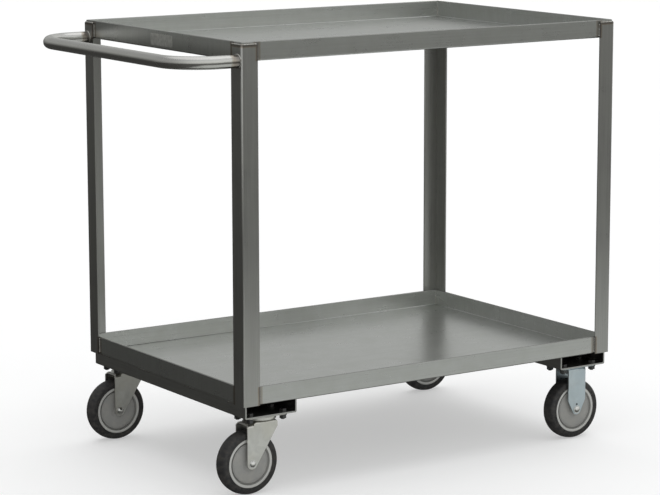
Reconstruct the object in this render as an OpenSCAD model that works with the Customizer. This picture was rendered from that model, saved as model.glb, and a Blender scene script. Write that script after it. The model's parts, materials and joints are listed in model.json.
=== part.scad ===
// Two-shelf stainless service cart: two lipped sheet pans on four angle posts, a tubular push
// handle, and four plate casters bolted to channel bolsters. Two casters swivel, two are rigid.
// X runs along the cart, with the push handle at -X. Y runs across it. Z is up from the floor.

/* [Deck] */
// Length over the corner posts
deck_l = 905; // [800:1:1200]
// Width over the corner posts
deck_w = 619.5; // [500:0.5:760]
// Height of the upper shelf's lip above the floor
upper_h = 887; // [700:1:1000]
// Height of the lower shelf's lip above the floor
lower_h = 221.5; // [221.5:0.5:260]
// Height of a shelf's lip, from the underside of the pan
lip_h = 36.8; // [30:0.1:37]
// Thickness of the shelf sheet
sheet_t = 1.5; // [1.2:0.1:1.5]
// Outside radius of the pans' bends
bend_r = 3; // [3:0.1:4]
// Depth of the hem folded inwards at the top of the lip
hem_h = 11; // [8:1:16]

/* [Corner posts] */
// Width of each leg of the angle
post_leg = 37; // [30:1:50]
// Thickness of the angle
post_t = 3.2; // [3:0.1:5]
// How far the posts stop below the upper lip
post_drop = 5.5; // [4:0.5:8]

/* [Push handle] */
// Outside diameter of the tube
tube_d = 25.4; // [20:0.1:32]
// Wall of the tube
tube_wall = 1.6; // [1.2:0.1:2.5]
// From the posts to the middle of the grip
handle_out = 120; // [100:1:160]
// Radius of the bends, at the middle of the tube
handle_r = 82; // [50:1:90]
// From the upper lip down to the middle of the tube
handle_drop = 36; // [25:1:60]

/* [Bolsters] */
// Width of the channel
bolster_w = 118; // [112:1:120]
// Thickness of the channel
bolster_t = 3.2; // [2.8:0.1:4.5]
// From the side of the deck to the end of the channel
bolster_in_y = 8; // [4:1:14]
// From the middle of a caster's plate to the middle of the channel
bolster_off = 2; // [-3:0.5:3]

/* [Casters] */
// Diameter of the wheels
wheel_d = 128; // [122:1:130]
// Width of the tread
tread_w = 32; // [28:1:34]
// Height of the casters, floor to top of plate
mount_h = 158; // [156:1:164]
// From the king pin back to the axle of a swivel caster
trail = 32; // [28:1:34]
// From the end of the deck to the middle of a caster's plate
caster_in_x = 65; // [64:1:66]
// From the side of the deck to the middle of a caster
caster_in_y = 45; // [44:1:60]
// Length of a caster's plate, along the cart
plate_l = 92; // [90:1:94]
// Width of a caster's plate
plate_w = 60; // [58:1:64]
// Bolt spacing along the cart
bolt_x = 76; // [74:1:78]
// Bolt spacing across the cart
bolt_y = 44.5; // [43:0.5:46]

/* [Hidden] */
$fn = 64;

// Frame positions. The origin is under the middle of the whole cart, handle included.
deck_x = (handle_out + tube_d / 2) / 2;
pan_l = deck_l - 2 * post_t;
pan_w = deck_w - 2 * post_t;
upper_z = upper_h - lip_h;
lower_z = lower_h - lip_h;
post_top = upper_h - post_drop;
handle_y = deck_w / 2 - tube_d / 2;
handle_z = upper_h - handle_drop;
front_y = -(deck_w / 2 - caster_in_y);
back_y = -front_y;
swivel_x = -(deck_l / 2 - caster_in_x);
rigid_x = -swivel_x;

// Heights in a caster, floor upwards
wheel_r = wheel_d / 2;
plate_t = 3;
steel_t = 3;
plate_z = mount_h - plate_t;
crown_z = mount_h - 10.5;
cup_z = mount_h - 21;
saddle_z = mount_h - 15.5;

// Fork and wheel
fork_gap = 38;
fork_w = fork_gap + 2 * steel_t;
fork_bend = 8;
crown_bend = 5;
step_x = -20;
step_run = 8;
tip_r = 11;
tip_in = tip_r - 0.03;
yoke_front = 26;
axle_r = 4.75;
axle_nut_h = 8;
sleeve_r = 6.35;
running = 0.08;
core_r = 49.5;
core_face = 13;
core_rim = 15;
groove_in = 40;
groove_out = 44;
hub_r = 10.5;
hub_w = fork_gap - 0.6;

// Swivel bearing
pin_r = 5;
race_r = 31;
upper_ball_r = 2.5;
upper_ball_ring = 15.5;
lower_ball_r = 2.5;
lower_ball_ring = 12;
ball_gap = 0.1;
upper_ball_z = crown_z + upper_ball_r - 0.5 + ball_gap;
lower_ball_z = crown_z - steel_t - lower_ball_r - ball_gap;

// Mounting bolts
bolt_r = 4;
bolt_hole = 4.5;
nut_h = 6.4;
washer_t = 1.4;
hex_bolt = 13;
hex_axle = 14;
hex_pin = 16;

STEEL = [0.60, 0.61, 0.60];
TUBE = [0.70, 0.70, 0.68];
ZINC = [0.68, 0.73, 0.75];
DARK = [0.25, 0.26, 0.27];
CORE = [0.52, 0.53, 0.52];
RUBBER = [0.10, 0.10, 0.11];

// ---- Shared shapes ----

module on_deck() {
    translate([deck_x, 0, 0]) children();
}

module at_bolts() {
    for (x = [-bolt_x / 2, bolt_x / 2], y = [-bolt_y / 2, bolt_y / 2]) {
        translate([x, y, 0]) children();
    }
}

module round_plate(l, w, h, r) {
    linear_extrude(h) {
        square([l - 2 * r, w], center = true);
        square([l, w - 2 * r], center = true);
        for (x = [-1, 1], y = [-1, 1]) {
            translate([x * (l / 2 - r), y * (w / 2 - r)]) circle(r);
        }
    }
}

module hex_prism(flats, h) {
    cylinder(r = flats / 2 / cos(30), h = h, $fn = 6);
}

// ---- Shelves ----

// Section across a lip: x runs inwards from its outer face, y up from the pan's underside
module lip_section() {
    translate([0, bend_r]) square([sheet_t, lip_h - sheet_t - bend_r]);
    translate([sheet_t, lip_h - sheet_t]) circle(sheet_t);
    translate([sheet_t, lip_h - hem_h]) square([sheet_t, hem_h - sheet_t]);
    intersection() {
        square(bend_r);
        translate([bend_r, bend_r]) difference() {
            circle(bend_r);
            circle(bend_r - sheet_t);
        }
    }
}

// One lip along X, mitred at its ends, its outer face on y = 0
module lip(length) {
    depth = bend_r;
    half = length / 2;
    intersection() {
        rotate([90, 0, 90]) translate([0, 0, -half]) linear_extrude(length) lip_section();
        linear_extrude(lip_h) polygon([
            [-half, 0],
            [half, 0],
            [half - depth, depth],
            [depth - half, depth]
        ]);
    }
}

module pan() {
    translate([0, 0, sheet_t / 2]) cube([pan_l - 2 * bend_r, pan_w - 2 * bend_r, sheet_t], center = true);
    for (side = [0, 180]) {
        rotate(side) translate([0, -pan_w / 2, 0]) lip(pan_l);
        rotate(side + 90) translate([0, -pan_l / 2, 0]) lip(pan_w);
    }
}

module upper_shelf() {
    color(STEEL) on_deck() translate([0, 0, upper_z]) pan();
}

module lower_shelf() {
    color(STEEL) on_deck() translate([0, 0, lower_z]) pan();
}

// ---- Corner posts ----

// Section of the angle, its heel at the origin and its legs along +x and +y
module angle_section() {
    heel_r = post_t;
    toe_r = 1.2;
    difference() {
        square(post_leg);
        translate([post_t, post_t]) square(post_leg);
        difference() {
            square(heel_r);
            translate([heel_r, heel_r]) circle(heel_r);
        }
        for (flip = [0, 1]) mirror([flip, -flip]) {
            difference() {
                translate([post_leg - toe_r, post_t - toe_r]) square(toe_r + 1);
                translate([post_leg - toe_r, post_t - toe_r]) circle(toe_r);
            }
        }
    }
}

// A post at the deck's corner on the side given by sx and sy
module post(sx, sy) {
    color(STEEL) on_deck() {
        translate([sx * deck_l / 2, sy * deck_w / 2, lower_z]) {
            mirror([sx > 0 ? 1 : 0, 0, 0]) mirror([0, sy > 0 ? 1 : 0, 0]) {
                linear_extrude(post_top - lower_z) angle_section();
            }
        }
    }
}

module post_handle_front() {
    post(-1, -1);
}

module post_handle_back() {
    post(-1, 1);
}

module post_end_front() {
    post(1, -1);
}

module post_end_back() {
    post(1, 1);
}

// ---- Push handle ----

// The handle's path as a solid rod of radius r, from the posts round the grip
module handle_rod(r) {
    bend_x = -deck_l / 2 - handle_out + handle_r;
    bend_y = handle_y - handle_r;
    for (flip = [0, 1]) mirror([0, flip, 0]) {
        translate([bend_x, handle_y, 0]) rotate([0, 90, 0]) cylinder(r = r, h = -deck_l / 2 - bend_x);
        translate([bend_x, bend_y, 0]) rotate(90) {
            rotate_extrude(angle = 90) translate([handle_r, 0]) circle(r);
        }
    }
    translate([bend_x - handle_r, bend_y, 0]) rotate([90, 0, 0]) cylinder(r = r, h = 2 * bend_y);
}

module push_handle() {
    color(TUBE) on_deck() translate([0, 0, handle_z]) difference() {
        handle_rod(tube_d / 2);
        handle_rod(tube_d / 2 - tube_wall);
    }
}

// Blank plate on the end lip, between the legs of the handle
module maker_plate() {
    plate = [84, 23, 0.6];
    color(ZINC) on_deck() translate([-pan_l / 2, -5, upper_h - 19]) {
        rotate([0, -90, 0]) round_plate(plate.y, plate.x, plate.z, 2);
    }
}

// ---- Bolsters ----

// A channel across the cart, web down, over casters whose plates have their middle at x = 0
module bolster() {
    depth = lower_z - mount_h;
    length = deck_w - 2 * bolster_in_y;
    corner = bolster_t;
    difference() {
        translate([bolster_off, length / 2, 0]) rotate([90, 0, 0]) linear_extrude(length) difference() {
            translate([-bolster_w / 2, 0]) square([bolster_w, depth]);
            translate([bolster_t - bolster_w / 2, bolster_t]) square([bolster_w - 2 * bolster_t, depth]);
            for (flip = [0, 1]) mirror([flip, 0]) translate([bolster_w / 2 - corner, 0]) difference() {
                square(corner);
                translate([0, corner]) circle(corner);
            }
        }
        for (y = [front_y, back_y]) {
            translate([0, y, -1]) at_bolts() cylinder(r = bolt_hole, h = bolster_t + 2);
        }
    }
}

module bolster_handle_end() {
    color(STEEL) on_deck() translate([swivel_x, 0, mount_h]) bolster();
}

module bolster_far_end() {
    color(STEEL) on_deck() translate([rigid_x, 0, mount_h]) bolster();
}

// ---- Caster forks ----

// Where the line from p touches the circle of radius r about c; side picks which way round
function touch(p, c, r, side) =
    let (d = p - c, turn = atan2(d.y, d.x) + side * acos(r / norm(d)))
    c + r * [cos(turn), sin(turn)];

module fork_outline(half, r, top) {
    translate([-half, 0]) square([2 * half, top - r]);
    translate([r - half, 0]) square([2 * (half - r), top]);
    for (side = [-1, 1]) {
        translate([side * (half - r), top - r]) circle(r);
    }
}

// Two legs and their saddle, bent from one strip, with its top at the given height
module bent_strip(top) {
    reach = 60;
    translate([-reach, 0, 0]) rotate([90, 0, 90]) linear_extrude(2 * reach) difference() {
        fork_outline(fork_w / 2, fork_bend, top);
        fork_outline(fork_gap / 2, fork_bend - steel_t, top - steel_t);
    }
}

// Side view of a leg, drawn through points and a round tip about the axle, cut across the strip
module leg_outline(points, axle_x) {
    translate([0, fork_w, 0]) rotate([90, 0, 0]) linear_extrude(2 * fork_w) {
        polygon(points);
        translate([axle_x, wheel_r]) circle(tip_r);
    }
}

module axle_cut(axle_x) {
    translate([axle_x, fork_w, wheel_r]) rotate([90, 0, 0]) cylinder(r = axle_r + 0.1, h = 2 * fork_w);
}

// The raised front of the saddle, drawn in side view, before it is hollowed from below
module crown_block(points) {
    intersection() {
        translate([-60, 0, 0]) rotate([90, 0, 90]) linear_extrude(120) fork_outline(fork_w / 2, crown_bend, crown_z);
        translate([0, fork_w, 0]) rotate([90, 0, 0]) linear_extrude(2 * fork_w) polygon(points);
    }
}

// Its saddle steps up to a crown that carries the balls
module yoke() {
    axle = [-trail, wheel_r];
    shoulder = [yoke_front, saddle_z - 9];
    rear = axle.x - tip_in;
    foot = step_x - step_run;
    riser = step_x + 2.5;
    difference() {
        union() {
            intersection() {
                bent_strip(saddle_z);
                leg_outline([
                    [rear, axle.y],
                    [rear, saddle_z - 6],
                    [rear + 5, saddle_z],
                    [yoke_front - 4, saddle_z],
                    shoulder,
                    touch(shoulder, axle, tip_in, -1),
                    axle
                ], axle.x);
            }
            crown_block([
                [foot, shoulder.y],
                [foot, saddle_z],
                [step_x, crown_z],
                [yoke_front - 5, crown_z],
                [yoke_front, crown_z - 5],
                shoulder
            ]);
        }
        translate([riser, -fork_gap / 2, shoulder.y - 3]) {
            cube([yoke_front - riser + 1, fork_gap, crown_z - steel_t - shoulder.y + 3]);
        }
        translate([foot - 0.01, -fork_gap / 2, shoulder.y - 3]) {
            cube([riser - foot + 0.02, fork_gap, saddle_z - steel_t - shoulder.y + 3]);
        }
        cylinder(r = pin_r + running, h = mount_h);
        translate([0, 0, upper_ball_z]) ball_groove(upper_ball_ring, upper_ball_r);
        axle_cut(axle.x);
    }
}

module rigid_fork() {
    leg_w = 45;
    taper_z = wheel_r + 20;
    flange_h = 13;
    rivet_hole = 2.2;
    axle = [0, wheel_r];
    difference() {
        union() {
            intersection() {
                bent_strip(plate_z);
                leg_outline([
                    [-leg_w / 2, plate_z],
                    [-leg_w / 2, taper_z],
                    touch([-leg_w / 2, taper_z], axle, tip_r, 1),
                    touch([leg_w / 2, taper_z], axle, tip_r, -1),
                    [leg_w / 2, taper_z],
                    [leg_w / 2, plate_z]
                ], axle.x);
            }
            for (side = [-1, 1]) {
                translate([side * (leg_w - steel_t) / 2, 0, plate_z - flange_h / 2]) {
                    cube([steel_t, fork_gap + steel_t, flange_h], center = true);
                }
            }
        }
        axle_cut(axle.x);
        translate([0, fork_w, wheel_r + 11]) rotate([90, 0, 0]) cylinder(r = rivet_hole, h = 2 * fork_w);
    }
}

// ---- Swivel bearing ----

module ball_groove(ring_r, ball_r) {
    rotate_extrude() translate([ring_r, 0]) circle(ball_r + ball_gap);
}

module ball_ring(ring_r, ball_r) {
    count = floor(180 / asin((ball_r + ball_gap) / ring_r));
    for (i = [0 : count - 1]) {
        rotate(i * 360 / count) translate([ring_r, 0, 0]) sphere(ball_r, $fn = 24);
    }
}

module king_shank() {
    low = cup_z - 7;
    translate([0, 0, low]) cylinder(r = pin_r, h = mount_h - low);
    translate([0, 0, plate_z]) cylinder(r1 = pin_r, r2 = pin_r + plate_t, h = plate_t);
}

module top_plate(with_pin) {
    difference() {
        translate([0, 0, plate_z]) round_plate(plate_l, plate_w, plate_t, 8);
        translate([0, 0, plate_z - 1]) at_bolts() cylinder(r = bolt_hole, h = plate_t + 2);
        if (with_pin) king_shank();
    }
}

module upper_race() {
    skirt_z = crown_z + 1.5;
    web_z = upper_ball_z + upper_ball_r - 0.5;
    difference() {
        translate([0, 0, skirt_z]) cylinder(r = race_r, h = plate_z - skirt_z);
        translate([0, 0, skirt_z - 1]) cylinder(r = race_r - 2.5, h = web_z - skirt_z + 1);
        translate([0, 0, skirt_z]) cylinder(r = pin_r, h = mount_h);
        translate([0, 0, upper_ball_z]) ball_groove(upper_ball_ring, upper_ball_r);
    }
}

module lower_race() {
    top = lower_ball_z - 1.6;
    difference() {
        translate([0, 0, cup_z]) cylinder(r = lower_ball_ring + 4.5, h = top - cup_z);
        translate([0, 0, cup_z - 1]) cylinder(r = pin_r, h = mount_h);
        translate([0, 0, lower_ball_z]) ball_groove(lower_ball_ring, lower_ball_r);
    }
}

module king_nut() {
    depth = 6;
    translate([0, 0, cup_z - depth]) difference() {
        hex_prism(hex_pin, depth);
        translate([0, 0, -1]) cylinder(r = pin_r, h = depth + 2);
    }
}

// ---- Mounting bolts ----

module bolts() {
    head_h = 5.3;
    head_z = mount_h + bolster_t;
    tip_z = plate_z - washer_t - nut_h - 2.2;
    at_bolts() {
        translate([0, 0, head_z]) hex_prism(hex_bolt, head_h);
        translate([0, 0, tip_z]) cylinder(r1 = bolt_r - 0.8, r2 = bolt_r, h = 0.8);
        translate([0, 0, tip_z + 0.8]) cylinder(r = bolt_r, h = head_z - tip_z - 0.8);
    }
}

module nuts() {
    at_bolts() translate([0, 0, plate_z - washer_t]) difference() {
        union() {
            cylinder(r = 8, h = washer_t);
            translate([0, 0, -nut_h]) hex_prism(hex_bolt, nut_h);
        }
        translate([0, 0, -nut_h - 1]) cylinder(r = bolt_r, h = nut_h + washer_t + 2);
    }
}

// ---- Axle, drawn along z and then laid across the cart, its head towards -Y ----

module lay_axle() {
    translate([0, 0, wheel_r]) rotate([-90, 0, 0]) children();
}

module axle_bolt() {
    head_r = 6.5;
    head_h = 4.3;
    flange_r = 8;
    flange_t = 1.2;
    dome_r = (pow(head_r, 2) + pow(head_h, 2)) / (2 * head_h);
    seat = -fork_w / 2;
    lay_axle() {
        translate([0, 0, seat]) cylinder(r = axle_r, h = fork_w + axle_nut_h + 2);
        translate([0, 0, seat - flange_t]) cylinder(r = flange_r, h = flange_t);
        intersection() {
            translate([0, 0, seat - flange_t - head_h + dome_r]) sphere(dome_r);
            translate([0, 0, seat - flange_t - head_h]) cylinder(r = head_r, h = head_h);
        }
    }
}

module axle_nut() {
    lay_axle() translate([0, 0, fork_w / 2]) difference() {
        union() {
            cylinder(r = 9, h = 1.5);
            hex_prism(hex_axle, axle_nut_h);
        }
        translate([0, 0, -1]) cylinder(r = axle_r, h = axle_nut_h + 2);
    }
}

module axle_sleeve() {
    lay_axle() translate([0, 0, -fork_gap / 2]) difference() {
        cylinder(r = sleeve_r, h = fork_gap);
        translate([0, 0, -1]) cylinder(r = axle_r, h = fork_gap + 2);
    }
}

// ---- Wheel ----

module wheel_core() {
    bore = sleeve_r + running;
    groove_z = core_face - 4;
    half = [
        [bore, hub_w / 2],
        [hub_r, hub_w / 2],
        [hub_r, core_face],
        [groove_in, core_face],
        [groove_in, groove_z],
        [groove_out, groove_z],
        [groove_out, core_rim],
        [core_r, core_rim]
    ];
    lay_axle() rotate_extrude() {
        polygon(concat(half, [for (i = [len(half) - 1 : -1 : 0]) [half[i].x, -half[i].y]]));
    }
}

// Tread section: a crowned arc across the tread, rounded into the sidewalls
module tyre_section() {
    crown_arc = 40;
    shoulder = 7;
    side = tread_w / 2 - shoulder;
    arc_x = wheel_r - crown_arc;
    shoulder_x = arc_x + sqrt(pow(crown_arc - shoulder, 2) - pow(side, 2));
    meet = side * crown_arc / (crown_arc - shoulder);
    translate([core_r, -tread_w / 2]) square([shoulder_x - core_r, tread_w]);
    intersection() {
        translate([arc_x, 0]) circle(crown_arc, $fn = 180);
        translate([core_r, -meet]) square([wheel_r, 2 * meet]);
    }
    intersection() {
        for (y = [-side, side]) {
            translate([shoulder_x, y]) circle(shoulder);
        }
        translate([core_r, -tread_w / 2]) square([wheel_r, tread_w]);
    }
}

module tyre() {
    lay_axle() rotate_extrude($fn = 128) tyre_section();
}

// ---- Pieces in their places ----

// Stands a caster piece under its plate's middle
module at_caster(x, y, tint) {
    color(tint) on_deck() translate([x, y, 0]) children();
}

module swivel_front_top_plate() {
    at_caster(swivel_x, front_y, ZINC) top_plate(true);
}

module swivel_front_upper_race() {
    at_caster(swivel_x, front_y, ZINC) upper_race();
}

module swivel_front_upper_balls() {
    at_caster(swivel_x, front_y, DARK) translate([0, 0, upper_ball_z]) ball_ring(upper_ball_ring, upper_ball_r);
}

module swivel_front_lower_balls() {
    at_caster(swivel_x, front_y, DARK) translate([0, 0, lower_ball_z]) ball_ring(lower_ball_ring, lower_ball_r);
}

module swivel_front_lower_race() {
    at_caster(swivel_x, front_y, ZINC) lower_race();
}

module swivel_front_king_pin() {
    at_caster(swivel_x, front_y, ZINC) king_shank();
}

module swivel_front_king_nut() {
    at_caster(swivel_x, front_y, ZINC) king_nut();
}

module swivel_front_bolts() {
    at_caster(swivel_x, front_y, DARK) bolts();
}

module swivel_front_nuts() {
    at_caster(swivel_x, front_y, DARK) nuts();
}

module swivel_front_yoke() {
    at_caster(swivel_x, front_y, ZINC) yoke();
}

module swivel_front_axle_bolt() {
    at_caster(swivel_x - trail, front_y, ZINC) axle_bolt();
}

module swivel_front_axle_nut() {
    at_caster(swivel_x - trail, front_y, ZINC) axle_nut();
}

module swivel_front_axle_sleeve() {
    at_caster(swivel_x - trail, front_y, ZINC) axle_sleeve();
}

module swivel_front_wheel_core() {
    at_caster(swivel_x - trail, front_y, CORE) wheel_core();
}

module swivel_front_tyre() {
    at_caster(swivel_x - trail, front_y, RUBBER) tyre();
}

module swivel_back_top_plate() {
    at_caster(swivel_x, back_y, ZINC) top_plate(true);
}

module swivel_back_upper_race() {
    at_caster(swivel_x, back_y, ZINC) upper_race();
}

module swivel_back_upper_balls() {
    at_caster(swivel_x, back_y, DARK) translate([0, 0, upper_ball_z]) ball_ring(upper_ball_ring, upper_ball_r);
}

module swivel_back_lower_balls() {
    at_caster(swivel_x, back_y, DARK) translate([0, 0, lower_ball_z]) ball_ring(lower_ball_ring, lower_ball_r);
}

module swivel_back_lower_race() {
    at_caster(swivel_x, back_y, ZINC) lower_race();
}

module swivel_back_king_pin() {
    at_caster(swivel_x, back_y, ZINC) king_shank();
}

module swivel_back_king_nut() {
    at_caster(swivel_x, back_y, ZINC) king_nut();
}

module swivel_back_bolts() {
    at_caster(swivel_x, back_y, DARK) bolts();
}

module swivel_back_nuts() {
    at_caster(swivel_x, back_y, DARK) nuts();
}

module swivel_back_yoke() {
    at_caster(swivel_x, back_y, ZINC) yoke();
}

module swivel_back_axle_bolt() {
    at_caster(swivel_x - trail, back_y, ZINC) axle_bolt();
}

module swivel_back_axle_nut() {
    at_caster(swivel_x - trail, back_y, ZINC) axle_nut();
}

module swivel_back_axle_sleeve() {
    at_caster(swivel_x - trail, back_y, ZINC) axle_sleeve();
}

module swivel_back_wheel_core() {
    at_caster(swivel_x - trail, back_y, CORE) wheel_core();
}

module swivel_back_tyre() {
    at_caster(swivel_x - trail, back_y, RUBBER) tyre();
}

module rigid_front_top_plate() {
    at_caster(rigid_x, front_y, ZINC) top_plate(false);
}

module rigid_front_fork() {
    at_caster(rigid_x, front_y, ZINC) rigid_fork();
}

module rigid_front_bolts() {
    at_caster(rigid_x, front_y, DARK) bolts();
}

module rigid_front_nuts() {
    at_caster(rigid_x, front_y, DARK) nuts();
}

module rigid_front_axle_bolt() {
    at_caster(rigid_x, front_y, ZINC) axle_bolt();
}

module rigid_front_axle_nut() {
    at_caster(rigid_x, front_y, ZINC) axle_nut();
}

module rigid_front_axle_sleeve() {
    at_caster(rigid_x, front_y, ZINC) axle_sleeve();
}

module rigid_front_wheel_core() {
    at_caster(rigid_x, front_y, CORE) wheel_core();
}

module rigid_front_tyre() {
    at_caster(rigid_x, front_y, RUBBER) tyre();
}

module rigid_back_top_plate() {
    at_caster(rigid_x, back_y, ZINC) top_plate(false);
}

module rigid_back_fork() {
    at_caster(rigid_x, back_y, ZINC) rigid_fork();
}

module rigid_back_bolts() {
    at_caster(rigid_x, back_y, DARK) bolts();
}

module rigid_back_nuts() {
    at_caster(rigid_x, back_y, DARK) nuts();
}

module rigid_back_axle_bolt() {
    at_caster(rigid_x, back_y, ZINC) axle_bolt();
}

module rigid_back_axle_nut() {
    at_caster(rigid_x, back_y, ZINC) axle_nut();
}

module rigid_back_axle_sleeve() {
    at_caster(rigid_x, back_y, ZINC) axle_sleeve();
}

module rigid_back_wheel_core() {
    at_caster(rigid_x, back_y, CORE) wheel_core();
}

module rigid_back_tyre() {
    at_caster(rigid_x, back_y, RUBBER) tyre();
}

upper_shelf();
lower_shelf();
post_handle_front();
post_handle_back();
post_end_front();
post_end_back();
push_handle();
maker_plate();
bolster_handle_end();
bolster_far_end();
swivel_front_top_plate();
swivel_front_upper_race();
swivel_front_upper_balls();
swivel_front_lower_balls();
swivel_front_lower_race();
swivel_front_king_pin();
swivel_front_king_nut();
swivel_front_bolts();
swivel_front_nuts();
swivel_front_yoke();
swivel_front_axle_bolt();
swivel_front_axle_nut();
swivel_front_axle_sleeve();
swivel_front_wheel_core();
swivel_front_tyre();
swivel_back_top_plate();
swivel_back_upper_race();
swivel_back_upper_balls();
swivel_back_lower_balls();
swivel_back_lower_race();
swivel_back_king_pin();
swivel_back_king_nut();
swivel_back_bolts();
swivel_back_nuts();
swivel_back_yoke();
swivel_back_axle_bolt();
swivel_back_axle_nut();
swivel_back_axle_sleeve();
swivel_back_wheel_core();
swivel_back_tyre();
rigid_front_top_plate();
rigid_front_fork();
rigid_front_bolts();
rigid_front_nuts();
rigid_front_axle_bolt();
rigid_front_axle_nut();
rigid_front_axle_sleeve();
rigid_front_wheel_core();
rigid_front_tyre();
rigid_back_top_plate();
rigid_back_fork();
rigid_back_bolts();
rigid_back_nuts();
rigid_back_axle_bolt();
rigid_back_axle_nut();
rigid_back_axle_sleeve();
rigid_back_wheel_core();
rigid_back_tyre();
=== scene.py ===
"""Looks for the stainless two-shelf service cart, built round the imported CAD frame. Metres, +Z up."""
import json
import math

import bpy
from mathutils import Matrix, Vector, noise


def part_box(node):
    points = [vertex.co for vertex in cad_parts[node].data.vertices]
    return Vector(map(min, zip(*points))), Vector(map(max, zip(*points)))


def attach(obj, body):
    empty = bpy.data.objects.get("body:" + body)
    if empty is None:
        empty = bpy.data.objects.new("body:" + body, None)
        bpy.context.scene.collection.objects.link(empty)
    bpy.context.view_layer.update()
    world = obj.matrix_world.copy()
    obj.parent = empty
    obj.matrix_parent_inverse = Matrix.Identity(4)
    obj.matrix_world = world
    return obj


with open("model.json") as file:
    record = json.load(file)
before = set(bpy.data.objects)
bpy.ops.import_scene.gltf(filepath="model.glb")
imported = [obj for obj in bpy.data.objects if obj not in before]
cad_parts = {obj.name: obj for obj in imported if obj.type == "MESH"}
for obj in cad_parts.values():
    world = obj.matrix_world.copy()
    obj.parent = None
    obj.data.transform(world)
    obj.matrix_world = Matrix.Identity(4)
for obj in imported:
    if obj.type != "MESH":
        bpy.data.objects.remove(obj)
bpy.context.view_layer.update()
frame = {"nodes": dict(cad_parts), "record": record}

MM = 0.001

# ---- Places, all read from the frame ----

PAN_LO, PAN_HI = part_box("upper_shelf")
LOW_PAN_LO, LOW_PAN_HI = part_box("lower_shelf")
POST_LO, POST_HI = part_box("post_end_back")
DECK = Vector(((PAN_LO.x + PAN_HI.x) / 2, 0, 0))
POST_OUT = Vector((POST_HI.x - DECK.x, POST_HI.y, 0))
POST_TOE = Vector((POST_LO.x - DECK.x, POST_LO.y, 0))
HALF_PAN = Vector((PAN_HI.x - DECK.x, PAN_HI.y, 0))
CORNERS = [(sx, sy) for sx in (-1, 1) for sy in (-1, 1)]
SIDES = ("front", "back")
SHEET = 1.5 * MM
SHELF_TOPS = {"upper": PAN_HI.z, "lower": LOW_PAN_HI.z}
SHELF_BOTTOMS = {"upper": PAN_LO.z, "lower": LOW_PAN_LO.z}


# ---- Materials ----


class Graph:
    """One material's node tree. Each method adds a node and gives back its output socket."""

    def __init__(self, name, **constants):
        self.material = bpy.data.materials.new(name)
        self.material.use_nodes = True
        self.tree = self.material.node_tree
        self.shader = self.tree.nodes["Principled BSDF"]
        for socket, value in constants.items():
            self.shader.inputs[socket.replace("_", " ").title().replace("Ior", "IOR")].default_value = value
        self.place = self.add("ShaderNodeTexCoord", {}).outputs["Object"]
        self.facing = self.add("ShaderNodeNewGeometry", {}).outputs["Normal"]

    def add(self, kind, inputs, **settings):
        made = self.tree.nodes.new(kind)
        for key, value in settings.items():
            setattr(made, key, value)
        for key, value in inputs.items():
            if isinstance(value, bpy.types.NodeSocket):
                self.tree.links.new(value, made.inputs[key])
            else:
                made.inputs[key].default_value = value
        return made

    def math(self, operation, a, b=0.0, clamp=False):
        return self.add("ShaderNodeMath", {0: a, 1: b}, operation=operation, use_clamp=clamp).outputs[0]

    def axis(self, vector, letter):
        return self.add("ShaderNodeSeparateXYZ", {0: vector}).outputs[letter]

    def moved(self, vector, offset):
        return self.add("ShaderNodeVectorMath", {0: vector, 1: offset}, operation="SUBTRACT").outputs[0]

    def noise(self, per_metre, detail=3.0, roughness=0.5, distortion=0.0):
        """Noise whose lumps repeat per_metre times a metre along X, Y and Z."""
        scaled = self.add("ShaderNodeVectorMath", {0: self.place, 1: per_metre},
                          operation="MULTIPLY").outputs[0]
        inputs = {"Vector": scaled, "Scale": 1.0, "Detail": detail, "Roughness": roughness,
                  "Distortion": distortion}
        return self.add("ShaderNodeTexNoise", inputs).outputs["Fac"]

    def span(self, value, low, high, to_low=0.0, to_high=1.0, smooth=False):
        kind = "SMOOTHSTEP" if smooth else "LINEAR"
        inputs = {"Value": value, "From Min": low, "From Max": high, "To Min": to_low, "To Max": to_high}
        return self.add("ShaderNodeMapRange", inputs, interpolation_type=kind).outputs["Result"]

    def ramp(self, value, stops):
        made = self.add("ShaderNodeValToRGB", {"Fac": value})
        marks = made.color_ramp.elements
        while len(marks) < len(stops):
            marks.new(1.0)
        for mark, (at, colour) in zip(marks, stops):
            mark.position = at
            mark.color = (*colour, 1.0)
        return made.outputs["Color"]

    def mix(self, amount, a, b):
        made = self.add("ShaderNodeMix", {}, data_type="RGBA", blend_type="MIX")
        for socket, value in ((made.inputs[0], amount), (made.inputs[6], a), (made.inputs[7], b)):
            if isinstance(value, bpy.types.NodeSocket):
                self.tree.links.new(value, socket)
            elif isinstance(value, (int, float)):
                socket.default_value = value
            else:
                socket.default_value = (*value, 1.0)
        return made.outputs[2]

    def finish(self, colour, roughness, height=None, depth=0.1 * MM, strength=0.3):
        self.tree.links.new(colour, self.shader.inputs["Base Color"])
        self.tree.links.new(roughness, self.shader.inputs["Roughness"])
        if height is not None:
            bump = self.add("ShaderNodeBump", {"Height": height, "Strength": strength, "Distance": depth})
            self.tree.links.new(bump.outputs[0], self.shader.inputs["Normal"])
        return self.material


# Oxide colours beside a weld, from the bead outwards
TEMPER = [(0.0, (0.09, 0.08, 0.075)), (0.3, (0.15, 0.12, 0.10)), (0.6, (0.27, 0.22, 0.17)),
          (0.85, (0.42, 0.38, 0.31)), (1.0, (0.50, 0.49, 0.46))]


def tempered(g, base, distance, reach, amount=0.6):
    """Colours the metal by its distance from a weld, out to reach."""
    ragged = g.math("MULTIPLY", g.noise((160, 160, 160)), 0.5)
    near = g.math("DIVIDE", distance, g.math("MULTIPLY", g.math("ADD", ragged, 0.75), reach), clamp=True)
    tint = g.ramp(near, TEMPER)
    fade = g.math("MULTIPLY", g.span(near, 0.75, 1.0, 1.0, 0.0, smooth=True), amount)
    return g.mix(fade, base, tint)


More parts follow.
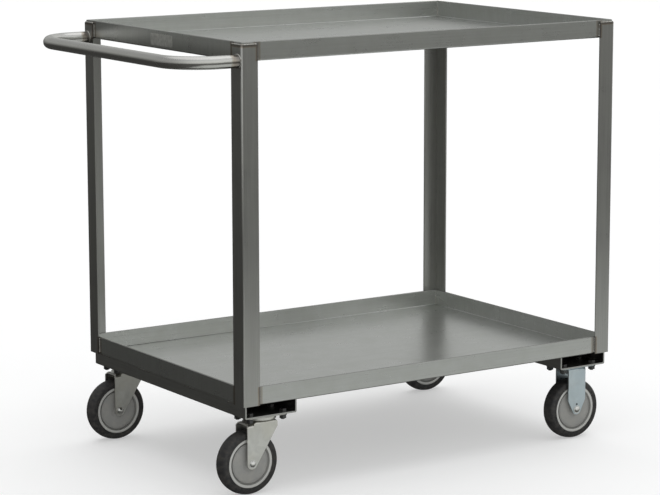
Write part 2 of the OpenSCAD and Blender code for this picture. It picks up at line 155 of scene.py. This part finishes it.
def brushed(g, base, along, contrast=0.035):
    """A brushed finish: (colour, roughness, height), with its lines along one axis."""
    def lines(across, length):
        return tuple(length if letter == along else across for letter in "xyz")
    fine = g.noise(lines(1500.0, 14.0), 2.0)
    mid = g.noise(lines(330.0, 5.0), 3.0)
    cloud = g.noise((22.0, 22.0, 22.0), 4.0, 0.6, distortion=0.4)
    streaks = g.math("ADD", g.math("MULTIPLY", fine, 0.45), g.math("MULTIPLY", mid, 0.55))
    dark = tuple(c * (1 - contrast * 2.2) for c in base)
    light = tuple(min(1.0, c * (1 + contrast * 1.6)) for c in base)
    colour = g.mix(g.span(streaks, 0.3, 0.7), dark, light)
    stain = tuple(c * k for c, k in zip(base, (0.90, 0.92, 0.86)))
    colour = g.mix(g.span(cloud, 0.45, 0.75, 0.0, 0.4), colour, stain)
    return colour, streaks, cloud


def scratched(g, colour):
    """A few fine, long scratches and scuffs from use."""
    bent = g.noise((9.0, 3.0, 9.0), 1.0)
    cells = g.add("ShaderNodeTexVoronoi", {
        "Vector": g.add("ShaderNodeVectorMath", {0: g.place, 1: (7.0, 26.0, 26.0)},
                        operation="MULTIPLY").outputs[0],
        "Scale": 1.0}, feature="DISTANCE_TO_EDGE").outputs["Distance"]
    line = g.math("MULTIPLY", g.span(cells, 0.0, 0.012, 1.0, 0.0), g.span(bent, 0.52, 0.6))
    return g.mix(g.math("MULTIPLY", line, 0.16), colour, (0.72, 0.72, 0.70)), line


def sheet_steel():
    """Shelf sheet: grain along the deck, running up the end lips, and weld tint beside the posts."""
    g = Graph("stainless_sheet", metallic=1.0)
    base = (0.56, 0.57, 0.555)
    end_face = g.math("GREATER_THAN", g.math("ABSOLUTE", g.axis(g.facing, "X")), 0.7)
    flat = brushed(g, base, "x")
    up = brushed(g, base, "z")
    colour = g.mix(end_face, flat[0], up[0])
    streaks = g.math("ADD", g.math("MULTIPLY", flat[1], g.math("SUBTRACT", 1.0, end_face)),
                     g.math("MULTIPLY", up[1], end_face))
    colour, line = scratched(g, colour)
    from_deck = g.moved(g.place, tuple(DECK))
    across = g.math("ABSOLUTE", g.axis(from_deck, "X"))
    deep = g.math("ABSOLUTE", g.axis(from_deck, "Y"))
    toe_x = g.math("ABSOLUTE", g.math("SUBTRACT", across, POST_TOE.x))
    toe_y = g.math("ABSOLUTE", g.math("SUBTRACT", deep, POST_TOE.y))
    outer_side = g.math("GREATER_THAN", deep, HALF_PAN.y - 1.2 * MM)
    outer_end = g.math("GREATER_THAN", across, HALF_PAN.x - 1.2 * MM)
    toe = g.math("MINIMUM", g.math("ADD", toe_x, g.math("SUBTRACT", 1.0, outer_side)),
                 g.math("ADD", toe_y, g.math("SUBTRACT", 1.0, outer_end)))
    colour = tempered(g, colour, toe, 9 * MM)
    # Painted shade with some grime: the deck darkens in ragged patches toward its lips, in the bend where
    # occlusion would fall.
    from_lip = g.math("MINIMUM", g.math("SUBTRACT", HALF_PAN.x, across), g.math("SUBTRACT", HALF_PAN.y, deep))
    lip_shade_and_grime = g.math("MULTIPLY", g.span(from_lip, 3 * MM, 26 * MM, 0.22, 0.0, smooth=True),
                   g.span(g.noise((30, 30, 30), 4.0, 0.65), 0.3, 0.7))
    colour = g.mix(lip_shade_and_grime, colour, (0.40, 0.40, 0.37))
    rough = g.math("ADD", g.span(flat[2], 0.3, 0.7, 0.24, 0.28), g.math("MULTIPLY", streaks, 0.06))
    rough = g.math("SUBTRACT", rough, g.math("MULTIPLY", line, 0.02))
    # Painted shade: the upward-facing tops of the hems, in a band at each shelf's top, are darkened to hold
    # back their highlight, and made rougher.
    height = g.axis(g.place, "Z")
    rims = [g.math("MULTIPLY", g.math("GREATER_THAN", height, top - 2 * MM),
                   g.math("LESS_THAN", height, top + MM)) for top in SHELF_TOPS.values()]
    rim = g.math("MAXIMUM", *rims)
    hem_top_shade = g.math("MULTIPLY", rim, g.span(g.axis(g.facing, "Z"), 0.15, 0.5))
    colour = g.mix(g.math("MULTIPLY", hem_top_shade, 0.75), colour, (0.30, 0.30, 0.285))
    rough = g.math("ADD", rough, g.math("MULTIPLY", hem_top_shade, 0.25))
    return g.finish(colour, rough, streaks, 0.1 * MM, 0.14)


def section_steel():
    """Posts and bolsters: mill-finish angle and channel, a little duller, and darker than the sheet partly as
    painted shade, tinted where it is welded.
    """
    g = Graph("stainless_section", metallic=1.0)
    # The base is darker than the sheet's: partly the mill finish, partly painted shade standing in for the
    # grain's anisotropic reflection.
    base = (0.43, 0.43, 0.415)
    upright = g.math("GREATER_THAN", g.axis(g.place, "Z"), LOW_PAN_LO.z - 0.1 * MM)
    tall, flat = brushed(g, base, "z", contrast=0.05), brushed(g, base, "y", contrast=0.05)
    colour = g.mix(upright, flat[0], tall[0])
    streaks = g.math("ADD", g.math("MULTIPLY", tall[1], upright),
                     g.math("MULTIPLY", flat[1], g.math("SUBTRACT", 1.0, upright)))
    from_deck = g.moved(g.place, tuple(DECK))
    height = g.axis(g.place, "Z")
    toes = []
    for letter, toe_at in (("X", POST_TOE.x), ("Y", POST_TOE.y)):
        from_middle = g.math("ABSOLUTE", g.axis(from_deck, letter))
        toes.append(g.math("ABSOLUTE", g.math("SUBTRACT", from_middle, toe_at)))
    inner = g.math("MINIMUM", *toes)
    on_upper = g.span(height, SHELF_BOTTOMS["upper"] - 6 * MM, SHELF_BOTTOMS["upper"], 1.0, 0.0)
    past_lower = g.span(height, SHELF_TOPS["lower"], SHELF_TOPS["lower"] + 6 * MM, 0.0, 1.0)
    away = g.math("MULTIPLY", g.math("MULTIPLY", on_upper, past_lower), 0.05)
    toe = g.math("ADD", inner, away)
    top = g.math("SUBTRACT", POST_HI.z, height)
    weld = g.math("MINIMUM", toe, g.math("MAXIMUM", top, 0.0))
    colour = g.mix(upright, colour, tempered(g, colour, weld, 6 * MM, 0.75))
    rough = g.math("ADD", g.span(tall[2], 0.3, 0.7, 0.23, 0.28), g.math("MULTIPLY", streaks, 0.1))
    return g.finish(colour, rough, streaks, 0.12 * MM, 0.2)


def tube_steel():
    """The polished handle: faint rings from polishing, wiped smears, and blued ends at the welds."""
    g = Graph("stainless_tube", metallic=1.0)
    base = (0.63, 0.625, 0.60)
    fine = g.noise((900, 900, 900), 2.0)
    smear = g.noise((18, 9, 18), 4.0, 0.62, distortion=0.8)
    colour = g.mix(g.span(smear, 0.35, 0.7, 0.0, 0.7), base, tuple(c * 0.9 for c in base))
    from_weld = g.math("SUBTRACT", DECK.x - POST_OUT.x, g.axis(g.place, "X"))
    colour = tempered(g, colour, g.math("ABSOLUTE", from_weld), 22 * MM, 0.7)
    rough = g.math("ADD", g.span(smear, 0.3, 0.7, 0.17, 0.27), g.math("MULTIPLY", fine, 0.05))
    return g.finish(colour, rough, g.math("ADD", fine, smear), 0.08 * MM, 0.2)


def scaled(base, factor):
    return tuple(min(1, c * factor) for c in base)


def zinc(name, base, cast):
    """Bright zinc plate on stamped steel: cloudy, with a slight colour cast from its passivation."""
    g = Graph(name, metallic=1.0)
    cloud = g.noise((48, 48, 48), 5.0, 0.6, distortion=0.6)
    hue = g.noise((23, 23, 23), 2.0)
    speck = g.noise((700, 700, 700), 2.0)
    colour = g.mix(g.span(cloud, 0.3, 0.7), scaled(base, 0.86), scaled(base, 1.07))
    colour = g.mix(g.span(hue, 0.4, 0.7, 0.0, 0.5), colour, cast)
    rough = g.math("ADD", g.span(cloud, 0.3, 0.7, 0.26, 0.40), g.math("MULTIPLY", speck, 0.06))
    return g.finish(colour, rough, g.math("ADD", cloud, g.math("MULTIPLY", speck, 0.3)), 0.2 * MM, 0.3)


def hardware(name, base, rough_low, rough_high):
    """Small turned and headed parts: handling marks and slightly uneven plating."""
    g = Graph(name, metallic=1.0)
    uneven = g.noise((160, 160, 160), 4.0, 0.6)
    fine = g.noise((1400, 1400, 1400), 2.0)
    colour = g.mix(g.span(uneven, 0.3, 0.7), scaled(base, 0.78), scaled(base, 1.1))
    return g.finish(colour, g.span(uneven, 0.3, 0.7, rough_low, rough_high), fine, 0.05 * MM, 0.25)


def bead_steel():
    """Weld metal: bright and a little brown in uneven patches."""
    g = Graph("weld_bead", metallic=1.0)
    patch = g.noise((210, 210, 210), 4.0, 0.65)
    colour = g.ramp(patch, [(0.3, (0.30, 0.27, 0.23)), (0.46, (0.42, 0.405, 0.37)),
                            (0.6, (0.60, 0.595, 0.58))])
    return g.finish(colour, g.span(patch, 0.3, 0.65, 0.34, 0.18), patch, 0.1 * MM, 0.3)


def core_plastic():
    """The moulded grey wheel core: satin, with a paler rim that is a painted highlight, and a little dust."""
    g = Graph("grey_core", metallic=0.0)
    grain = g.noise((1100, 1100, 1100), 2.0)
    dust = g.noise((60, 60, 60), 5.0, 0.65)
    colour = g.mix(g.span(dust, 0.42, 0.72, 0.0, 0.6), (0.235, 0.235, 0.225), (0.30, 0.29, 0.265))
    radii = []
    for caster in ("swivel_front", "rigid_front"):
        lo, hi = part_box(f"{caster}_tyre")
        from_axle = g.moved(g.place, tuple((lo + hi) / 2))
        x, z = g.axis(from_axle, "X"), g.axis(from_axle, "Z")
        radii.append(g.math("POWER", g.math("ADD", g.math("MULTIPLY", x, x), g.math("MULTIPLY", z, z)), 0.5))
    # Painted highlight: the core is paler past 44 mm from the axle.
    colour = g.mix(g.span(g.math("MINIMUM", *radii), 43.5 * MM, 44.5 * MM), colour, (0.42, 0.42, 0.40))
    rough = g.math("ADD", g.span(dust, 0.3, 0.7, 0.36, 0.5), g.math("MULTIPLY", grain, 0.08))
    return g.finish(colour, rough, grain, 0.06 * MM, 0.25)


def tyre_rubber():
    """Black tread: smooth sidewalls, with scuffs and floor dust where it rolls."""
    g = Graph("black_rubber", metallic=0.0, specular_ior_level=0.42)
    grain = g.noise((900, 900, 900), 3.0)
    scuff = g.noise((120, 40, 120), 5.0, 0.7)
    colour = g.mix(g.span(scuff, 0.42, 0.75), (0.017, 0.017, 0.018), (0.055, 0.050, 0.044))
    rough = g.math("ADD", g.span(scuff, 0.3, 0.7, 0.42, 0.62), g.math("MULTIPLY", grain, 0.1))
    return g.finish(colour, rough, g.math("ADD", grain, scuff), 0.12 * MM, 0.35)


def nylon():
    """The locking ring in an axle nut."""
    g = Graph("nylon_ring", metallic=0.0, roughness=0.4)
    patch = g.noise((300, 300, 300), 3.0)
    colour = g.mix(patch, (0.62, 0.60, 0.52), (0.72, 0.71, 0.66))
    return g.finish(colour, g.span(patch, 0.3, 0.7, 0.35, 0.5), patch, 0.05 * MM, 0.2)


MATERIALS = {
    "stainless_sheet": sheet_steel(),
    "stainless_section": section_steel(),
    "stainless_tube": tube_steel(),
    "plate_metal": hardware("plate_metal", (0.72, 0.72, 0.69), 0.38, 0.46),
    "zinc_swivel": zinc("zinc_swivel", (0.68, 0.68, 0.65), (0.66, 0.64, 0.56)),
    "zinc_rigid": zinc("zinc_rigid", (0.60, 0.67, 0.70), (0.52, 0.62, 0.68)),
    "axle_hardware": hardware("axle_hardware", (0.75, 0.75, 0.73), 0.14, 0.26),
    "mounting_hardware": hardware("mounting_hardware", (0.10, 0.10, 0.10), 0.30, 0.48),
    "bearing_steel": hardware("bearing_steel", (0.60, 0.60, 0.62), 0.08, 0.16),
    "grey_core": core_plastic(),
    "black_rubber": tyre_rubber(),
}
WELD = bead_steel()
NYLON = nylon()


# ---- Carried-over CAD nodes: materials and broken edges ----

EDGE = {"stainless_sheet": 0.35, "stainless_section": 0.55, "plate_metal": 0.15, "zinc_swivel": 0.4,
        "zinc_rigid": 0.4, "mounting_hardware": 0.25, "axle_hardware": 0.25, "grey_core": 0.5}


def dress(node, slot):
    """Gives a CAD node its finish, and breaks its sharp edges as tooling and polishing do."""
    node.data.materials.clear()
    node.data.materials.append(MATERIALS[slot])
    if slot not in EDGE:
        return
    weld = node.modifiers.new("join", "WELD")
    weld.merge_threshold = 0.002 * MM
    bevel = node.modifiers.new("edges", "BEVEL")
    bevel.width = EDGE[slot] * MM
    bevel.segments = 2
    bevel.limit_method = "ANGLE"
    bevel.angle_limit = math.radians(40)
    bevel.harden_normals = True


for sub in frame["record"]["subparts"]:
    dress(frame["nodes"][sub["node"]], sub["material_slot"])


# ---- New pieces ----


def piece(name, verts, faces, material, slot, body="cart"):
    mesh = bpy.data.meshes.new(name)
    mesh.from_pydata([tuple(v) for v in verts], [], faces)
    mesh.materials.append(material)
    mesh.shade_smooth()
    made = bpy.data.objects.new(name, mesh)
    bpy.context.scene.collection.objects.link(made)
    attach(made, body)
    return made


def along(points, step, closed=False):
    """Points every step along a polyline, each with its distance from the start."""
    loop = points + [points[0]] if closed else points
    placed, walked = [], 0.0
    for a, b in zip(loop, loop[1:]):
        count = max(1, round((b - a).length / step))
        for i in range(count):
            placed.append((a.lerp(b, i / count), walked + (b - a).length * i / count))
        walked += (b - a).length
    if not closed:
        placed.append((loop[-1], walked))
    return placed, walked


RING = 10


def sweep(placed, total, closed, outward, radii):
    """A closed skin round a path. radii(distance, angle) gives the skin's distance from the path."""
    verts, faces = [], []
    count = len(placed)
    for i, (at, walked) in enumerate(placed):
        before = placed[(i - 1) % count if closed else max(i - 1, 0)][0]
        after = placed[(i + 1) % count if closed else min(i + 1, count - 1)][0]
        ahead = (after - before).normalized()
        out = outward(at)
        side = ahead.cross(out).normalized()
        out = side.cross(ahead)
        for j in range(RING):
            angle = 2 * math.pi * j / RING
            reach = radii(walked, angle)
            verts.append(at + (out * math.cos(angle) + side * math.sin(angle)) * reach)
    for i in range(count if closed else count - 1):
        k = (i + 1) % count
        for j in range(RING):
            m = (j + 1) % RING
            faces.append((i * RING + j, i * RING + m, k * RING + m, k * RING + j))
    if not closed:
        faces.append(tuple(reversed(range(RING))))
        faces.append(tuple(range((count - 1) * RING, count * RING)))
    return verts, faces


def bead(points, radius, outward, closed=False, pitch=2.1 * MM, seed=0.0):
    """A hand-laid weld bead: crescent ripples along it, an uneven width, and a fuller start and stop."""
    placed, total = along([Vector(p) for p in points], pitch / 5, closed)

    def radii(walked, angle):
        bent = min(angle, 2 * math.pi - angle)
        ripple = 0.13 * math.cos(2 * math.pi * walked / pitch + 1.3 * bent)
        uneven = 0.16 * noise.noise(Vector((walked * 170, seed, 0.5)))
        size = 1 + ripple + uneven
        if closed:
            return radius * size
        end = min(walked, total - walked) / radius
        blob = 0.30 * math.exp(-((end - 1.3) / 0.9) ** 2)
        rounding = math.sqrt(max(0.02, 1 - (1 - min(end, 1.0)) ** 2))
        return radius * (size + blob) * rounding

    return sweep(placed, total, closed, outward, radii)


def gathered(parts):
    """Several skins as one mesh."""
    verts, faces = [], []
    for more_verts, more_faces in parts:
        start = len(verts)
        verts.extend(more_verts)
        faces.extend(tuple(start + i for i in face) for face in more_faces)
    return verts, faces


def corner_name(sx, sy):
    return f"{'end' if sx > 0 else 'handle'}_{SIDES[sy > 0]}"


def post_top_weld(sx, sy):
    """Along the top of a post's two legs, round its outer corner."""
    run = POST_OUT - Vector((1.7 * MM, 1.7 * MM, 0))
    z = POST_HI.z + 0.4 * MM
    turn = 2.5 * MM
    bend = [Vector((run.x - turn * (1 - math.sin(a)), run.y - turn * (1 - math.cos(a)), z))
            for a in (0.0, 0.4, 0.8, 1.2, math.pi / 2)]
    path = [Vector((POST_TOE.x + 1.5 * MM, run.y, z)), *bend, Vector((run.x, POST_TOE.y + 1.5 * MM, z))]
    placed = [Vector((DECK.x + p.x * sx, p.y * sy, p.z)) for p in path]
    return bead(placed, 1.6 * MM, lambda at: Vector((0, 0, 1)), seed=sx * 3 + sy)


def toe_welds(sx, sy):
    """Down each toe of a post, against the lips of both shelves."""
    for shelf in ("upper", "lower"):
        low = SHELF_BOTTOMS[shelf] + 3 * MM
        high = min(SHELF_TOPS[shelf] - 2 * MM, POST_HI.z - 2 * MM)
        side_x, side_y = DECK.x + (POST_TOE.x - 0.7 * MM) * sx, (HALF_PAN.y + 0.5 * MM) * sy
        end_x, end_y = DECK.x + (HALF_PAN.x + 0.5 * MM) * sx, (POST_TOE.y - 0.7 * MM) * sy
        seed = sx + 2 * sy + low
        yield bead([(side_x, side_y, high), (side_x, side_y, low)], 1.3 * MM,
                   lambda at: Vector((0, sy, 0)), seed=seed)
        yield bead([(end_x, end_y, high), (end_x, end_y, low)], 1.3 * MM,
                   lambda at: Vector((sx, 0, 0)), seed=seed + 9)


def seam_welds(sx, sy):
    """The closed corner of each pan, seen from inside it."""
    inset = SHEET + 0.2 * MM
    x, y = DECK.x + (HALF_PAN.x - inset) * sx, (HALF_PAN.y - inset) * sy
    for shelf in ("upper", "lower"):
        low, high = SHELF_BOTTOMS[shelf] + 3 * MM, SHELF_TOPS[shelf] - 2.2 * MM
        yield bead([(x, y, low), (x, y, high)], 1.0 * MM, lambda at: Vector((-sx, -sy, 0)).normalized(),
                   pitch=1.6 * MM, seed=sx - sy)


def handle_weld(sy):
    """Round each end of the handle's tube, on its post."""
    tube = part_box("push_handle")
    radius = (tube[1].z - tube[0].z) / 2
    mid = Vector((DECK.x - POST_OUT.x - 0.6 * MM, sy * (tube[1].y - radius), (tube[0].z + tube[1].z) / 2))
    ring = [mid + Vector((0, math.sin(a), math.cos(a))) * (radius + 0.1 * MM)
            for a in [2 * math.pi * i / 40 for i in range(40)]]
    return bead(ring, 1.5 * MM, lambda at: Vector((0, at.y - mid.y, at.z - mid.z)).normalized(),
                closed=True, seed=sy * 5.0)


def bolster_stitches(node):
    """Short fillets between a bolster's flanges and the pan above it."""
    lo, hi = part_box(node)
    half = 20 * MM
    for face, way in ((lo.x, -1), (hi.x, 1)):
        for part in (-0.43, -0.15, 0.15, 0.43):
            y = part * (hi.y - lo.y)
            x, z = face + way * 0.6 * MM, hi.z - 0.6 * MM
            yield bead([(x, y - half, z), (x, y + half, z)], 1.7 * MM,
                       lambda at: Vector((way, 0, -1)).normalized(), pitch=2.5 * MM, seed=x + part)


for sx, sy in CORNERS:
    skins = [post_top_weld(sx, sy), *toe_welds(sx, sy)]
    piece(f"post_welds_{corner_name(sx, sy)}", *gathered(skins), WELD, "stainless_section")
    piece(f"pan_seams_{corner_name(sx, sy)}", *gathered(seam_welds(sx, sy)), WELD, "stainless_sheet")
piece("handle_welds", *gathered([handle_weld(-1), handle_weld(1)]), WELD, "stainless_tube")
for bolster in ("bolster_handle_end", "bolster_far_end"):
    piece(f"{bolster}_welds", *gathered(bolster_stitches(bolster)), WELD, "stainless_section")


def ring(centre, radius, thick, axis="y", steps=96):
    """A thin raised ring about an axis through centre."""
    turn = {"y": lambda a: Vector((math.cos(a), 0, math.sin(a))),
            "z": lambda a: Vector((math.cos(a), math.sin(a), 0))}[axis]
    points = [centre + turn(2 * math.pi * i / steps) * radius for i in range(steps)]
    placed, total = along(points, 1.0, True)
    return sweep(placed, total, True, lambda at: (at - centre).normalized(), lambda walked, angle: thick)


def helix(start, axis, radius, pitch, length, height=0.28 * MM):
    """A thread's ridge, wound on a plain shank."""
    steps = 20
    across = Vector((1, 0, 0))
    other = axis.cross(across)
    turns = length / pitch
    count = int(turns * steps)
    verts, faces = [], []
    for i in range(count + 1):
        a = 2 * math.pi * i / steps
        out = across * math.cos(a) + other * math.sin(a)
        taper = min(1.0, i / 6, (count - i) / 6)
        mid = start + axis * (pitch * i / steps)
        verts += [mid + out * (radius - 0.15 * MM) - axis * pitch * 0.38,
                  mid + out * (radius + height * taper),
                  mid + out * (radius - 0.15 * MM) + axis * pitch * 0.38]
    for i in range(count):
        for j in range(3):
            k = (j + 1) % 3
            faces.append((3 * i + j, 3 * i + k, 3 * i + 3 + k, 3 * i + 3 + j))
    faces += [(2, 1, 0), (3 * count, 3 * count + 1, 3 * count + 2)]
    return verts, faces


# ---- Casters ----

CASTERS = [f"{kind}_{side}" for kind in ("swivel", "rigid") for side in SIDES]


def wheel_details(caster):
    """Mould lines: one round the middle of the tread, and a raised band on each sidewall."""
    lo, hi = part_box(f"{caster}_tyre")
    mid = (lo + hi) / 2
    radius = (hi.z - lo.z) / 2
    half = (hi.y - lo.y) / 2
    skins = [ring(mid, radius - 0.12 * MM, 0.28 * MM)]
    skins += [ring(mid + Vector((0, way * half, 0)), radius - 10.5 * MM, 0.45 * MM) for way in (-1, 1)]
    piece(f"{caster}_mould_lines", *gathered(skins), MATERIALS["black_rubber"], "black_rubber",
          f"{caster}_wheel")


def core_details(caster):
    """Stiffening rings moulded on both faces of the core, inside its groove."""
    lo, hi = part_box(f"{caster}_wheel_core")
    mid = (lo + hi) / 2
    skins = [ring(mid + Vector((0, way * 13.0 * MM, 0)), radius * MM, 0.5 * MM)
             for way in (-1, 1) for radius in (16.0, 37.5)]
    piece(f"{caster}_core_rings", *gathered(skins), MATERIALS["grey_core"], "grey_core", f"{caster}_wheel")


def axle_details(caster):
    """The nylon ring of the lock nut, and the thread that stands past it."""
    body = f"{caster}_fork" if caster.startswith("swivel") else "cart"
    lo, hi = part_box(f"{caster}_axle_nut")
    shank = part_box(f"{caster}_axle_bolt")
    mid = (lo + hi) / 2
    radius = 4.75 * MM
    face = Vector((mid.x, hi.y, mid.z))
    piece(f"{caster}_nylon_ring", *ring(face, radius + 1.1 * MM, 0.9 * MM, steps=40), NYLON,
          "axle_hardware", body)
    piece(f"{caster}_axle_thread",
          *helix(face + Vector((0, 0.3 * MM, 0)), Vector((0, 1, 0)), radius, 1.0 * MM,
                 shank[1].y - hi.y - 0.6 * MM),
          MATERIALS["axle_hardware"], "axle_hardware", body)


def bolt_threads(caster):
    """The threads of the four mounting bolts, below their nuts."""
    lo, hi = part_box(f"{caster}_bolts")
    nut_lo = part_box(f"{caster}_nuts")[0]
    skins = []
    head = (hi.x - lo.x - 76 * MM) / 2
    for x in (lo.x + head, hi.x - head):
        for y in (lo.y + head - 0.9 * MM, hi.y - head + 0.9 * MM):
            skins.append(helix(Vector((x, y, nut_lo.z - 0.2 * MM)), Vector((0, 0, -1)), 4.0 * MM, 1.0 * MM,
                               nut_lo.z - lo.z - 0.6 * MM))
    piece(f"{caster}_bolt_threads", *gathered(skins), MATERIALS["mounting_hardware"], "mounting_hardware")


for caster in CASTERS:
    wheel_details(caster)
    core_details(caster)
    axle_details(caster)
    bolt_threads(caster)


# ---- Studio ----


def floor():
    """A broad pale sheet that gives off a little light, left out of the metal's reflections."""
    mesh = bpy.data.meshes.new("floor")
    half = 60.0
    corners = [(-half, -half, 0), (half, -half, 0), (half, half, 0), (-half, half, 0)]
    mesh.from_pydata(corners, [], [(0, 1, 2, 3)])
    made = bpy.data.objects.new("floor", mesh)
    bpy.context.scene.collection.objects.link(made)
    g = Graph("pale_floor", metallic=0.0)
    patch = g.noise((1.5, 1.5, 1.5), 3.0)
    colour = g.mix(patch, (0.56, 0.56, 0.56), (0.60, 0.60, 0.60))
    g.shader.inputs["Emission Color"].default_value = (1.0, 1.0, 1.0, 1.0)
    g.shader.inputs["Emission Strength"].default_value = 0.42
    mesh.materials.append(g.finish(colour, g.span(patch, 0.0, 1.0, 0.8, 0.9)))
    made.visible_glossy = False


def studio_walls():
    """Dim below the horizon and toward the handle's side, brightest above it, and pale to the camera."""
    world = bpy.data.worlds.new("studio")
    bpy.context.scene.world = world
    world.use_nodes = True
    tree = world.node_tree
    tree.nodes.clear()

    def add(kind, inputs, **settings):
        made = tree.nodes.new(kind)
        for key, value in settings.items():
            setattr(made, key, value)
        for key, value in inputs.items():
            if isinstance(value, bpy.types.NodeSocket):
                tree.links.new(value, made.inputs[key])
            else:
                made.inputs[key].default_value = value
        return made

    way = add("ShaderNodeTexCoord", {}).outputs["Generated"]
    height = add("ShaderNodeSeparateXYZ", {0: way}).outputs["Z"]
    rise = add("ShaderNodeMapRange", {"Value": height, "From Min": -1.0, "From Max": 1.0}).outputs["Result"]
    ramp = add("ShaderNodeValToRGB", {"Fac": rise})
    stops = [(0.0, (0.10, 0.10, 0.095)), (0.38, (0.115, 0.115, 0.11)), (0.45, (0.16, 0.16, 0.15)),
             (0.53, (0.54, 0.55, 0.53)), (0.62, (0.86, 0.87, 0.85)), (0.88, (0.72, 0.73, 0.74)),
             (1.0, (0.62, 0.62, 0.63))]
    while len(ramp.color_ramp.elements) < len(stops):
        ramp.color_ramp.elements.new(1.0)
    for mark, (at, colour) in zip(ramp.color_ramp.elements, stops):
        mark.position = at
        mark.color = (*colour, 1.0)
    toward = add("ShaderNodeVectorMath", {0: way, 1: (-0.6, 0.8, 0.0)},
                 operation="DOT_PRODUCT").outputs["Value"]
    dim = add("ShaderNodeMapRange", {"Value": toward, "From Min": -0.6, "From Max": 1.0, "To Min": 1.05,
                                     "To Max": 0.48}, interpolation_type="SMOOTHSTEP").outputs["Result"]
    shaded = add("ShaderNodeVectorMath", {0: ramp.outputs["Color"], "Scale": dim},
                 operation="SCALE").outputs[0]
    walls = add("ShaderNodeBackground", {"Color": shaded, "Strength": 1.0}).outputs[0]
    pale = add("ShaderNodeBackground", {"Color": (0.96, 0.96, 0.96, 1.0), "Strength": 1.0}).outputs[0]
    seen = add("ShaderNodeLightPath", {}).outputs["Is Camera Ray"]
    mixed = add("ShaderNodeMixShader", {0: seen, 1: walls, 2: pale}).outputs[0]
    add("ShaderNodeOutputWorld", {"Surface": mixed})


def softbox(name, at, target, size, watts, colour=(1.0, 1.0, 1.0)):
    data = bpy.data.lights.new(name, "AREA")
    data.shape = "RECTANGLE"
    data.size, data.size_y = size
    data.energy = watts
    data.color = colour
    made = bpy.data.objects.new(name, data)
    made.location = at
    made.rotation_euler = (Vector(target) - Vector(at)).to_track_quat("-Z", "Y").to_euler()
    made.visible_camera = False
    bpy.context.scene.collection.objects.link(made)


def overhead(name, energy, reflected):
    """Even light from a very wide source straight above, left out of reflections if it would glare."""
    data = bpy.data.lights.new(name, "SUN")
    data.energy = energy
    data.angle = math.radians(70)
    made = bpy.data.objects.new(name, data)
    made.rotation_euler = (math.radians(-8), math.radians(6), 0)
    made.visible_glossy = reflected
    bpy.context.scene.collection.objects.link(made)


def camera():
    """The photograph's viewpoint: from the handle's end and the front, a little above the upper shelf."""
    azimuth, pitch, roll = (math.radians(a) for a in (33.583, 9.970, 0.107))
    level = Vector((math.sin(azimuth), math.cos(azimuth), 0))
    forward = level * math.cos(pitch) - Vector((0, 0, math.sin(pitch)))
    right = Vector((math.cos(azimuth), -math.sin(azimuth), 0))
    down = forward.cross(right)
    x_axis = right * math.cos(roll) + down * math.sin(roll)
    y_axis = right * math.sin(roll) - down * math.cos(roll)
    data = bpy.data.cameras.new("camera")
    data.sensor_width = 36.0
    data.lens = 138.293
    data.clip_end = 200.0
    made = bpy.data.objects.new("camera", data)
    turn = Matrix((x_axis, y_axis, -forward)).transposed().to_4x4()
    made.matrix_world = Matrix.Translation(DECK + Vector((-2.93549, -4.34926, 1.33036))) @ turn
    bpy.context.scene.collection.objects.link(made)
    bpy.context.scene.camera = made


floor()
studio_walls()
overhead("overhead_fill", 0.75, False)
overhead("overhead_key", 0.55, True)
softbox("floor_glow", (0.9, -1.0, 0.01), (0.9, -1.0, 1.0), (3.4, 1.25), 6.5, (0.97, 1.0, 0.98))
camera()
bpy.context.scene.view_settings.view_transform = "Standard"
